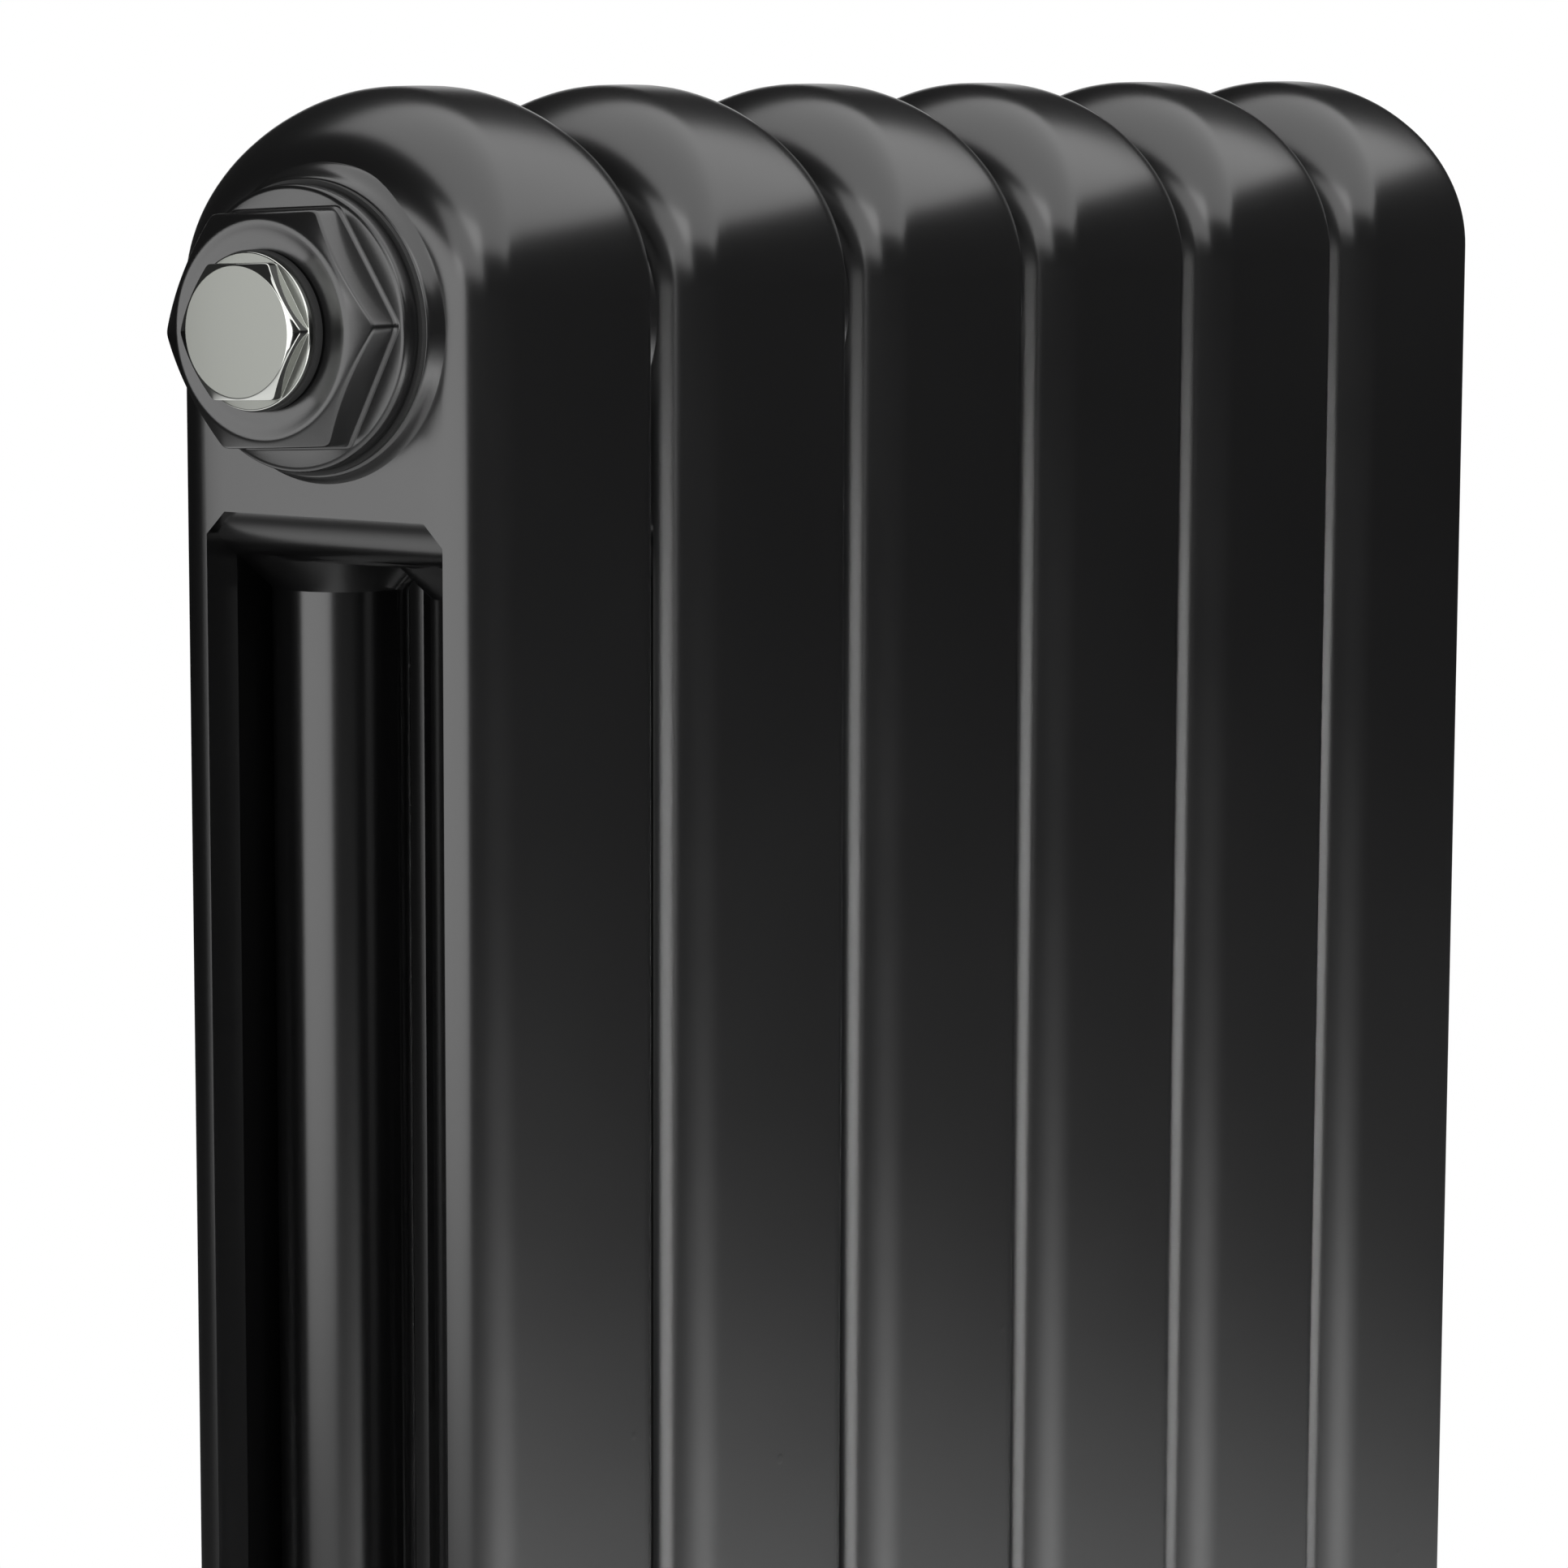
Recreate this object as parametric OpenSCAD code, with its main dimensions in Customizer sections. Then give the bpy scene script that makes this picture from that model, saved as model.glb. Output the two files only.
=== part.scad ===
// Six-section cast iron column radiator on two cast feet.
// Each section is a hollow casting: two headers joined by two water tubes, with a flat plate in front and
// behind. Nipples with right and left hand threads pull the sections together, and reducing bushings close
// the end ports down to a half inch thread.
// Frame: X along the row of sections, -Y is the front, Z = 0 is the floor under the feet.

/* [Sections] */
// Number of sections in the row
section_count = 6; // [3:1:6]
// Distance from one section to the next, along X
pitch = 60; // [58:0.5:64]
// Width of one casting along X
section_w = 53; // [50:0.5:54]
// Depth of one casting from the front face to the rear face
depth = 70; // [66:1:80]
// Height of one casting without its foot
section_h = 580; // [400:10:780]
// Height from the floor to the bottom of the castings
foot_h = 75; // [72:1:100]
// Radius that rounds the outer edges of a casting
edge_r = 9; // [5:0.5:10]
// Radius of the round shoulders at the top and bottom of a casting, seen from the front
shoulder_r = 21.5; // [16:0.5:24]
// Wall thickness of the headers
wall = 5.5; // [4.5:0.5:6]

/* [Columns] */
// Depth of the front and rear plates at their side flanges
plate_d = 9.5; // [9:0.5:12]
// Thickness of the plates behind their flat faces
plate_t = 5; // [4:0.5:6]
// Width of the flange along each side of a plate
flange_w = 8; // [7:0.5:9]
// Distance from the top of a casting down to its air window
head_h = 72; // [68:1:78]
// Outer radius of a water tube
tube_r = 12; // [11.5:0.5:13]
// Bore radius of a water tube
tube_bore_r = 8.5; // [7:0.5:9]
// Distance from the middle plane to each water tube's axis
tube_y = 17.5; // [17:0.5:19]
// Radius of the cove where a tube meets a header
cove_r = 4; // [3:0.5:4]

/* [Hubs and threads] */
// Distance from the top of a casting down to the port's axis, and the same at the bottom
port_drop = 40; // [39:0.5:42]
// How far a hub stands out of the side of a casting
hub_out = 3; // [2:0.5:4]
// Outer radius of a hub at its machined face
hub_r = 25; // [24:0.5:26]
// Outer radius of a hub where it meets the casting
hub_root_r = 27; // [26.5:0.5:28]
// Radius of the large port's thread, G 1 1/4
port_r = 20.955; // [20.955:0.001:21]
// Depth of the large thread from the hub's face
port_thread_l = 16; // [14:1:18]
// Radius of the small thread inside a bushing, G 1/2
small_port_r = 9.3155; // [9.3:0.0005:9.4]

/* [Fittings] */
// Width across flats of a bushing's hexagon
bushing_af = 39; // [37:0.5:41]
// Length of a bushing's hexagon
bushing_hex_l = 8.5; // [7:0.5:10]
// Outer radius of a bushing's flange
flange_r = 24; // [23:0.5:24.5]
// Thickness of a bushing's flange
flange_t = 3.5; // [2.5:0.5:4]
// Turn of the bushing hexagons from level, in degrees
bushing_turn = -3; // [-15:1:15]
// Width across flats of the blank plug and the vent body
plug_af = 24; // [22:0.5:26]
// Length of the hexagon on the blank plug and the vent body
plug_hex_l = 4.5; // [4:0.5:6]
// Turn of the plug hexagons from level, in degrees
plug_turn = 12; // [-30:1:30]
// Radius of the bleed screw
screw_r = 2.95; // [2.5:0.05:3]
// Width across flats of the square on the bleed screw
screw_af = 5; // [4.5:0.5:5]

/* [Hidden] */
$fn = 96;

// Colours as the eye sees them
iron_colour = "#1c1c1d";
steel_colour = "#77746e";
seal_colour = "#2c2a28";
chrome_colour = "#c9cbc8";
brass_colour = "#b08d4a";

// Heights above the floor
body_top = foot_h + section_h;
port_top = body_top - port_drop;
port_bottom = foot_h + port_drop;
window_top = body_top - head_h;
window_bottom = foot_h + head_h;

// Places along X
row_half = (section_count - 1) / 2 * pitch;
side_half = row_half + section_w / 2;
hub_face = side_half + hub_out;
joint_gap = pitch - section_w - 2 * hub_out;
flange_face = hub_face + joint_gap;
hex_start = flange_face + flange_t;
hex_face = hex_start + bushing_hex_l;

// Clearance that keeps the shoulders' outline off the flat sides and the crown of the dome
shoulder_gap = 0.2;

// Inside the castings
port_ring_l = 12;
window_chamfer = 4;
foot_w = 34;
foot_corner_r = 6;
arch_r = 22;
pad_h = 6;
pad_out = 4;

// Fittings
nipple_l = 28;
nipple_r = port_r - 0.05;
nipple_bore_r = 16.5;
lug_w = 5;
lug_h = 3;
gasket_in_r = port_r + 0.35;
gasket_out_r = hub_r - 0.3;
bushing_thread_l = 14;
bushing_thread_r = port_r - 0.05;
bushing_land_r = 18.2;
ring_in_r = small_port_r + 1.3;
ring_out_r = 13.4;
ring_t = 1.7;
plug_thread_l = 10;
plug_thread_r = small_port_r - 0.05;
plug_land_r = 10.9;
plug_hollow_r = 6.5;
plug_hollow_l = 8;
chamfer_slope = tan(30);
screw_gap = 0.05;
screw_pocket_r = 5;
screw_pocket_l = 3.2;
screw_l = 10;
spout_r = 0.9;
over = 1;

// Position of section n along X, where n runs from 1
function section_x(n) = (n - 1) * pitch - row_half;
// Position of the joint between sections n and n + 1
function joint_x(n) = section_x(n) + pitch / 2;

// Places children, drawn along +Z from a face at Z = 0, on the left or right end of the row
module on_end(side, x, z) {
    translate([side * x, 0, z]) rotate([0, side * 90, 0]) children();
}

// Flat outline with four round corners, centred
module round_rect(x, y, r) {
    square([x - 2 * r, y], center = true);
    square([x, y - 2 * r], center = true);
    for (i = [-1, 1], j = [-1, 1])
        translate([i * (x / 2 - r), j * (y / 2 - r)]) circle(r);
}

// Half of a wheel about the X axis with a round rim, as the dome over a section
module dome(w, r_out, r_edge) {
    rotate([90, 0, 90])
        rotate_extrude(angle = 180)
            intersection() {
                round_rect(2 * r_out, w, r_edge);
                translate([0, -w]) square([2 * r_out, 2 * w]);
            }
}

// Outer form of a section, or the same form drawn in by the wall thickness
module section_form(inset) {
    w = section_w - 2 * inset;
    d = depth - 2 * inset;
    h = section_h - 2 * inset;
    r = max(edge_r - inset, 1);
    low = foot_h + depth / 2;
    high = body_top - depth / 2;
    gap = 2 * shoulder_gap;
    intersection() {
        union() {
            translate([0, 0, low]) linear_extrude(high - low) round_rect(w, d, r);
            translate([0, 0, high]) dome(w, d / 2, r);
            translate([0, 0, low]) mirror([0, 0, 1]) dome(w, d / 2, r);
        }
        translate([0, depth, (low + high) / 2]) rotate([90, 0, 0])
            linear_extrude(2 * depth) round_rect(w + gap, h + gap, shoulder_r - inset);
    }
}

// Side view of the air window between the plates, cut through along X
module air_window() {
    y = depth / 2 - plate_d;
    c = window_chamfer;
    h = window_top - window_bottom;
    translate([section_w / 2 + over, 0, window_bottom]) rotate([90, 0, -90])
        linear_extrude(section_w + 2 * over)
            polygon([
                [-y + c, 0], [y - c, 0], [y, c], [y, h - c],
                [y - c, h], [-y + c, h], [-y, h - c], [-y, c]
            ]);
}

// Hollow behind each plate, between its side flanges
module plate_hollows() {
    h = window_top - window_bottom - 2 * window_chamfer;
    y = depth / 2 - plate_t;
    w = section_w - 2 * flange_w;
    translate([0, 0, window_bottom + window_chamfer])
        linear_extrude(h) square([w, 2 * y], center = true);
}

// Water tube with a cove at each end, where it runs into the headers
module water_tube(side) {
    low = window_bottom - over;
    high = window_top + over;
    translate([0, side * tube_y, low]) cylinder(r = tube_r, h = high - low);
    for (up = [0, 1])
        translate([0, side * tube_y, up ? window_top : window_bottom]) mirror([0, 0, up])
            rotate_extrude()
                difference() {
                    translate([0, -over]) square([tube_r + cove_r, cove_r + over]);
                    translate([tube_r + cove_r, cove_r]) circle(cove_r);
                }
}

// Hub on one side of a section, with a conical root
module hub(side, z) {
    translate([side * section_w / 2, 0, z]) rotate([0, side * 90, 0]) {
        cylinder(r1 = hub_root_r, r2 = hub_r, h = hub_out);
        translate([0, 0, -wall]) cylinder(r = hub_root_r, h = wall);
    }
}

// Ring inside a header that gives the port's thread its length
module port_ring(side, z) {
    translate([side * (section_w / 2 - port_ring_l), 0, z]) rotate([0, side * 90, 0])
        cylinder(r = hub_r, h = port_ring_l);
}

// Water space of both headers, without the port rings
module header_water() {
    difference() {
        intersection() {
            section_form(wall);
            union() {
                translate([-section_w, -depth, window_top + wall]) cube([2 * section_w, 2 * depth, head_h]);
                translate([-section_w, -depth, foot_h]) cube([2 * section_w, 2 * depth, head_h - wall]);
            }
        }
        for (side = [-1, 1], z = [port_bottom, port_top]) port_ring(side, z);
    }
}

// Bores of the ports and the water tubes
module water_ways() {
    port_l = port_thread_l + over;
    for (side = [-1, 1], z = [port_bottom, port_top])
        translate([side * (section_w / 2 + hub_out - port_thread_l), 0, z]) rotate([0, side * 90, 0])
            cylinder(r = port_r, h = port_l);
    for (side = [-1, 1])
        translate([0, side * tube_y, port_bottom]) cylinder(r = tube_bore_r, h = port_top - port_bottom);
}

// Arched foot with two pads, cast in one with an end section
module cast_foot() {
    difference() {
        union() {
            linear_extrude(foot_h + depth / 2) round_rect(foot_w, depth, foot_corner_r);
            linear_extrude(pad_h) round_rect(foot_w + 2 * pad_out, depth, foot_corner_r);
        }
        translate([-section_w, -arch_r, -over])
            cube([2 * section_w, 2 * arch_r, foot_h - arch_r - 2 * wall + over]);
        translate([-section_w, 0, foot_h - arch_r - 2 * wall]) rotate([0, 90, 0])
            cylinder(r = arch_r, h = 2 * section_w);
    }
}

// One casting, number n in the row
module section_casting(n) {
    footed = n == 1 || n == section_count;
    color(iron_colour) translate([section_x(n), 0, 0])
        difference() {
            union() {
                difference() {
                    section_form(0);
                    air_window();
                    plate_hollows();
                }
                if (footed) cast_foot();
                for (side = [-1, 1]) water_tube(side);
                for (side = [-1, 1], z = [port_bottom, port_top]) hub(side, z);
            }
            header_water();
            water_ways();
        }
}

// Threaded sleeve that joins two sections, with two lugs inside for the key that turns it
module joint_nipple(n, z) {
    color(steel_colour) translate([joint_x(n) - nipple_l / 2, 0, z]) rotate([0, 90, 0]) {
        difference() {
            cylinder(r = nipple_r, h = nipple_l);
            translate([0, 0, -over]) cylinder(r = nipple_bore_r, h = nipple_l + 2 * over);
        }
        for (side = [-1, 1])
            translate([side * (nipple_bore_r - lug_h / 2) - lug_h / 2, -lug_w / 2, 0])
                cube([lug_h, lug_w, nipple_l]);
    }
}

// Flat ring, drawn along +Z
module flat_ring(r_in, r_out, t) {
    difference() {
        cylinder(r = r_out, h = t);
        translate([0, 0, -over]) cylinder(r = r_in, h = t + 2 * over);
    }
}

// Gasket round a nipple, between two hub faces
module joint_gasket(n, z) {
    color(seal_colour) translate([joint_x(n) - joint_gap / 2, 0, z]) rotate([0, 90, 0])
        flat_ring(gasket_in_r, gasket_out_r, joint_gap);
}

// Hexagon with its outer corners turned down to a round land, drawn along +Z
module chamfered_hex(af, l, land_r) {
    corner_r = af / 2 / cos(30);
    drop = (corner_r + over - land_r) * chamfer_slope;
    intersection() {
        cylinder(r = corner_r, h = l, $fn = 6);
        union() {
            cylinder(r = corner_r + over, h = l - drop);
            translate([0, 0, l - drop]) cylinder(r1 = corner_r + over, r2 = land_r, h = drop);
        }
    }
}

// Reducing bushing: large thread inwards, flange, hexagon outwards, small bore through
module reducing_bushing(side, z) {
    through = bushing_thread_l + flange_t + bushing_hex_l + 2 * over;
    color(iron_colour) on_end(side, flange_face, z)
        difference() {
            union() {
                translate([0, 0, -joint_gap - bushing_thread_l])
                    cylinder(r = bushing_thread_r, h = bushing_thread_l + joint_gap);
                cylinder(r = flange_r, h = flange_t);
                translate([0, 0, flange_t]) rotate([0, 0, 90 + bushing_turn])
                    chamfered_hex(bushing_af, bushing_hex_l, bushing_land_r);
            }
            translate([0, 0, -joint_gap - bushing_thread_l - over])
                cylinder(r = small_port_r, h = through + joint_gap);
        }
}

// Gasket between a bushing's flange and the hub
module bushing_gasket(side, z) {
    color(seal_colour) on_end(side, hub_face, z) flat_ring(gasket_in_r, gasket_out_r, joint_gap);
}

// Ring gasket under a plug's hexagon
module plug_ring(side) {
    color(seal_colour) on_end(side, hex_face, port_top) flat_ring(ring_in_r, ring_out_r, ring_t);
}

// Solid plug form: small thread inwards, hexagon outwards, from the gasket's outer face
module plug_form() {
    thread_l = plug_thread_l + ring_t;
    translate([0, 0, -thread_l]) cylinder(r = plug_thread_r, h = thread_l);
    rotate([0, 0, 90 + plug_turn]) chamfered_hex(plug_af, plug_hex_l, plug_land_r);
}

module blank_plug() {
    color(chrome_colour) on_end(-1, hex_face + ring_t, port_top)
        difference() {
            plug_form();
            translate([0, 0, -plug_thread_l - ring_t - over])
                cylinder(r = plug_hollow_r, h = plug_hollow_l + over);
        }
}

module vent_body() {
    color(chrome_colour) on_end(1, hex_face + ring_t, port_top)
        difference() {
            plug_form();
            translate([0, 0, -plug_thread_l - ring_t - over])
                cylinder(r = screw_r + screw_gap, h = plug_thread_l + ring_t + plug_hex_l + 2 * over);
            translate([0, 0, plug_hex_l - screw_pocket_l])
                cylinder(r = screw_pocket_r, h = screw_pocket_l + over);
            translate([0, 0, plug_hex_l - screw_pocket_l - spout_r - over / 2]) rotate([0, 90, -90])
                cylinder(r = spout_r, h = plug_af);
        }
}

// Bleed screw: round stem in the vent body and a square end in its pocket
module bleed_screw() {
    color(brass_colour) on_end(1, hex_face + ring_t + plug_hex_l, port_top) {
        translate([0, 0, -screw_pocket_l - screw_l]) cylinder(r = screw_r, h = screw_l);
        intersection() {
            translate([-screw_af / 2, -screw_af / 2, -screw_pocket_l])
                cube([screw_af, screw_af, screw_pocket_l]);
            translate([0, 0, -screw_pocket_l]) cylinder(r = screw_af * 0.66, h = screw_pocket_l);
        }
    }
}

section_casting(1);  // section_1
section_casting(2);  // section_2
section_casting(3);  // section_3
section_casting(4);  // section_4
section_casting(5);  // section_5
section_casting(6);  // section_6
joint_nipple(1, port_top);  // nipple_top_1
joint_nipple(2, port_top);  // nipple_top_2
joint_nipple(3, port_top);  // nipple_top_3
joint_nipple(4, port_top);  // nipple_top_4
joint_nipple(5, port_top);  // nipple_top_5
joint_nipple(1, port_bottom);  // nipple_bottom_1
joint_nipple(2, port_bottom);  // nipple_bottom_2
joint_nipple(3, port_bottom);  // nipple_bottom_3
joint_nipple(4, port_bottom);  // nipple_bottom_4
joint_nipple(5, port_bottom);  // nipple_bottom_5
joint_gasket(1, port_top);  // gasket_top_1
joint_gasket(2, port_top);  // gasket_top_2
joint_gasket(3, port_top);  // gasket_top_3
joint_gasket(4, port_top);  // gasket_top_4
joint_gasket(5, port_top);  // gasket_top_5
joint_gasket(1, port_bottom);  // gasket_bottom_1
joint_gasket(2, port_bottom);  // gasket_bottom_2
joint_gasket(3, port_bottom);  // gasket_bottom_3
joint_gasket(4, port_bottom);  // gasket_bottom_4
joint_gasket(5, port_bottom);  // gasket_bottom_5
reducing_bushing(-1, port_top);  // bushing_top_left
reducing_bushing(1, port_top);  // bushing_top_right
reducing_bushing(-1, port_bottom);  // bushing_bottom_left
reducing_bushing(1, port_bottom);  // bushing_bottom_right
bushing_gasket(-1, port_top);  // bushing_gasket_top_left
bushing_gasket(1, port_top);  // bushing_gasket_top_right
bushing_gasket(-1, port_bottom);  // bushing_gasket_bottom_left
bushing_gasket(1, port_bottom);  // bushing_gasket_bottom_right
blank_plug();
plug_ring(-1);  // plug_gasket
vent_body();
plug_ring(1);  // vent_gasket
bleed_screw();
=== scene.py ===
"""Six-section black cast iron radiator: castings, turned fittings, finishes, studio and camera."""

import math

import bmesh
import bpy
import numpy as np
from mathutils import Matrix, Vector


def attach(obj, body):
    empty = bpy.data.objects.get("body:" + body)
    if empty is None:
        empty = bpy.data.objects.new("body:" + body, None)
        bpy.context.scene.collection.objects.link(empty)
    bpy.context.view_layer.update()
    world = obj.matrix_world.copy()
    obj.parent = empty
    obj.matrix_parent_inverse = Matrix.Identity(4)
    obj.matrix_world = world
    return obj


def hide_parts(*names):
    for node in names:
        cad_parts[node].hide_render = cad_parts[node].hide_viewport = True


MM = 0.001

# Camera, as the photograph was taken
CAMERA_PLACE = (-0.9127, -0.5972, 0.6610)
CAMERA_YAW = 34.33
CAMERA_PITCH = 8.65
CAMERA_ROLL = -0.19
CAMERA_LENS = 128.85
SENSOR_WIDTH = 36.0
CAMERA_SHIFT = 0.0771

# Castings, in millimetres
SECTION_COUNT = 6
PITCH = 60.0
SECTION_W = 53.0
DEPTH = 70.0
SECTION_H = 580.0
FOOT_H = 75.0
EDGE_R = 9.0
SHOULDER_R = 21.5
CROWN_R = 260.0
DOME_STEPS = 65
PLATE_D = 9.5
PLATE_T = 5.0
FLANGE_W = 8.0
HEAD_H = 72.0
WINDOW_CHAMFER = 4.0
TUBE_R = 12.0
TUBE_Y = 17.5
COVE_R = 6.5
BELLY_H = 9.0
BELLY_W = 11.0
LEDGE = 2.0
PORT_DROP = 40.0
PORT_R = 20.955
HUB_OUT = 3.0
HUB_R = 25.0
HUB_ROOT_R = 27.0
JOINT_GAP = 1.0
FOOT_W = 34.0
FOOT_CORNER_R = 6.0
PAD_OUT = 4.0
PAD_H = 6.0
ARCH_R = 22.0
ARCH_TOP = 53.0

# Fittings, in millimetres
FLANGE_R = 24.0
FLANGE_T = 3.5
BUSHING_AF = 39.0
BUSHING_HEX_L = 8.5
BUSHING_LAND_R = 18.2
BUSHING_TURN = 3.0
BUSHING_THREAD_L = 14.0
SMALL_PORT_R = 9.3155
PLUG_AF = 22.4
PLUG_HEX_L = 4.5
PLUG_LAND_R = 10.9
PLUG_COLLAR_R = 13.1
PLUG_COLLAR_T = 1.3
PLUG_TURN = 2.0
PLUG_THREAD_L = 10.0
RING_T = 1.7
CHAMFER_SLOPE = math.tan(math.radians(30))
CORNER_POWER = 60.0
AXIS_R = 0.02

# Heights and lengths that follow
BODY_TOP = FOOT_H + SECTION_H
PORT_HEIGHTS = (FOOT_H + PORT_DROP, BODY_TOP - PORT_DROP)
WINDOW_LOW = FOOT_H + HEAD_H
WINDOW_HIGH = BODY_TOP - HEAD_H
ROW_HALF = (SECTION_COUNT - 1) / 2 * PITCH
FLANGE_FACE = ROW_HALF + SECTION_W / 2 + HUB_OUT + JOINT_GAP
HEX_FACE = FLANGE_FACE + FLANGE_T + BUSHING_HEX_L

# Studio
FLOOR_HALF = 12.0
# Floor colours: a painted pool of light, pale near its centre and near black far off, the dark being painted
# shade for the lamps' falloff
POOL_FLOOR_COLOUR = (0.75, 0.75, 0.75)
PAINTED_SHADE_FLOOR_COLOUR = (0.08, 0.08, 0.08)
PAINTED_LIGHT_POOL_CENTRE = (0.0, -0.55, 0.0)
ROOM_LIGHT = 0.05
GLOSSY_ROOM = 0.03
BACKDROP_DIRECTION = (0.826, 0.564, 0.0)

# Paint and metal
PAINT_COLOUR = (0.0035, 0.0035, 0.0036)
PAINT_ROUGHNESS = 0.23
PAINT_GLOSS = 1.0


# ---------------------------------------------------------------- mesh building

def grid_faces(rows, columns, close_rows, close_columns):
    """Quads of a grid whose point (i, j) has the number i * columns + j, closed on itself where asked."""
    i = np.arange(rows if close_rows else rows - 1)
    j = np.arange(columns if close_columns else columns - 1)
    i, j = (a.ravel() for a in np.meshgrid(i, j, indexing="ij"))
    i2, j2 = (i + 1) % rows, (j + 1) % columns
    return np.stack([i * columns + j, i * columns + j2, i2 * columns + j2, i2 * columns + j], axis=1)


def mesh_object(name, points, faces):
    """Object from points in millimetres and a list of faces, which keep the way they point."""
    mesh = bpy.data.meshes.new(name)
    mesh.from_pydata((np.asarray(points) * MM).tolist(), [], [list(map(int, f)) for f in faces])
    mesh.validate()
    made = bpy.data.objects.new(name, mesh)
    bpy.context.scene.collection.objects.link(made)
    return made


def outward(target):
    """Turns every face of a closed mesh outwards."""
    work = bmesh.new()
    work.from_mesh(target.data)
    bmesh.ops.recalc_face_normals(work, faces=work.faces)
    work.to_mesh(target.data)
    work.free()


def grid_object(name, grid, close_rows=False, close_columns=False, caps=False):
    """Object from a (rows, columns, 3) array of points, with its faces turned outwards.

    caps closes the first and last rows with one face each."""
    rows, columns = grid.shape[:2]
    faces = list(grid_faces(rows, columns, close_rows, close_columns))
    if caps:
        faces.append(np.arange(columns))
        faces.append(np.arange((rows - 1) * columns, rows * columns))
    made = mesh_object(name, grid.reshape(-1, 3), faces)
    outward(made)
    return made


def apply_modifiers(target):
    """Bakes a piece's modifiers into its mesh."""
    graph = bpy.context.evaluated_depsgraph_get()
    baked = bpy.data.meshes.new_from_object(target.evaluated_get(graph))
    target.modifiers.clear()
    target.data = baked


def boolean(target, tool, operation):
    """Cuts tool out of target or joins it on, and removes tool."""
    modifier = target.modifiers.new(operation.lower(), "BOOLEAN")
    modifier.operation = operation
    modifier.solver = "EXACT"
    modifier.object = tool
    apply_modifiers(target)
    bpy.data.objects.remove(tool)


def join(name, parts):
    """One object from several, each part a closed shell."""
    points, faces, start = [], [], 0
    for part in parts:
        count = len(part.data.vertices)
        flat = np.empty(count * 3)
        part.data.vertices.foreach_get("co", flat)
        points.append(flat.reshape(-1, 3) / MM)
        faces += [[v + start for v in f.vertices] for f in part.data.polygons]
        start += count
        bpy.data.objects.remove(part)
    return mesh_object(name, np.concatenate(points), faces)


def soften(target, angle):
    """Smooth shading, but for edges sharper than angle in degrees."""
    target.data.shade_smooth()
    target.data.set_sharp_from_angle(angle=math.radians(angle))


def copied(source, name):
    """Copy of a piece with a mesh of its own."""
    made = bpy.data.objects.new(name, source.data.copy())
    bpy.context.scene.collection.objects.link(made)
    return made


def rounded(keys, cuts, steps=5):
    """Polyline with its inner corners rounded.

    keys is (corners, directions, 2): an outline of (along, radius) pairs for each direction round the axis.
    Each inner corner becomes a quadratic Bezier curve that starts and ends cuts[k] from the corner."""
    pieces = [keys[:1]]
    share = np.linspace(0, 1, steps)[:, None, None]
    for k in range(1, len(keys) - 1):
        before, corner, after = keys[k - 1], keys[k], keys[k + 1]
        if cuts[k] == 0:
            pieces.append(keys[k:k + 1])
            continue
        back = before - corner
        ahead = after - corner
        first = corner + back * cuts[k] / np.linalg.norm(back, axis=-1, keepdims=True)
        last = corner + ahead * cuts[k] / np.linalg.norm(ahead, axis=-1, keepdims=True)
        pieces.append((1 - share) ** 2 * first + 2 * share * (1 - share) * corner + share ** 2 * last)
    pieces.append(keys[-1:])
    return np.concatenate(pieces)


def round_axis(profile, angles, side, start, height):
    """Points of a profile of (along, radius) pairs carried round an axis along X.

    side is -1 or 1 and says which way the axis points, start is where along = 0 lies, in absolute X."""
    x = side * (start + profile[..., 0])
    y = profile[..., 1] * np.cos(angles)
    z = height + profile[..., 1] * np.sin(angles)
    return np.stack([x, y, z], axis=-1)


# ---------------------------------------------------------------- castings

def perimeter():
    """Side outline of a section: its straight front and rear joined by half circles.

    Gives the centre height of the rounding, the outward direction, and how far round a dome each point lies,
    from 0 at the straight sides to 1 at the crown."""
    half = DEPTH / 2
    low, high = FOOT_H + half, BODY_TOP - half
    turn = np.linspace(0, math.pi, DOME_STEPS)
    centre_z = np.concatenate([np.full(DOME_STEPS, high), np.full(DOME_STEPS, low)])
    angle = np.concatenate([math.pi - turn, -turn])
    normal = np.stack([np.cos(angle), np.sin(angle)], axis=1)
    return centre_z, normal, np.abs(np.sin(angle))


def casting_form():
    """Solid outer form of a section.

    Rows run across the casting and columns round its side outline. A row at angle a of the edge rounding lies
    r (1 - cos a) in from the side and r (1 - sin a) below the face, and the face between is a shallow arc.
    r grows from the edge radius at the straight sides to the shoulder radius at the crown of the dome."""
    centre_z, normal, crown = perimeter()
    r = EDGE_R + (SHOULDER_R - EDGE_R) * crown ** 2
    half_w = SECTION_W / 2
    tilt = (half_w - r) / CROWN_R
    last = math.pi / 2 - tilt
    edge = np.linspace(0, 1, 15)[:, None] * last
    x_edge = -half_w + r * (1 - np.cos(edge))
    meet = -x_edge[-1]
    inset_edge = meet ** 2 / (2 * CROWN_R) - r * (1 - np.sin(last)) + r * (1 - np.sin(edge))
    across = np.linspace(-1, 1, 13)[1:-1, None]
    x_face = across * meet
    inset_face = x_face ** 2 / (2 * CROWN_R)
    x = np.concatenate([x_edge, x_face, -x_edge[::-1]])
    inset = np.concatenate([inset_edge, inset_face, inset_edge[::-1]])
    reach = DEPTH / 2 - inset
    grid = np.stack([x, reach * normal[:, 0], centre_z + reach * normal[:, 1]], axis=-1)
    return grid_object("casting_form", grid, close_columns=True, caps=True)


def prism(name, outline, x_low, x_high):
    """Side outline of (y, z) points carried along X."""
    outline = np.asarray(outline, float)
    ends = [np.column_stack([np.full(len(outline), x), outline]) for x in (x_low, x_high)]
    return grid_object(name, np.stack(ends), close_columns=True, caps=True)


def box(name, low, high):
    """Box between two corners."""
    outline = [(low[1], low[2]), (high[1], low[2]), (high[1], high[2]), (low[1], high[2])]
    return prism(name, outline, low[0], high[0])


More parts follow.
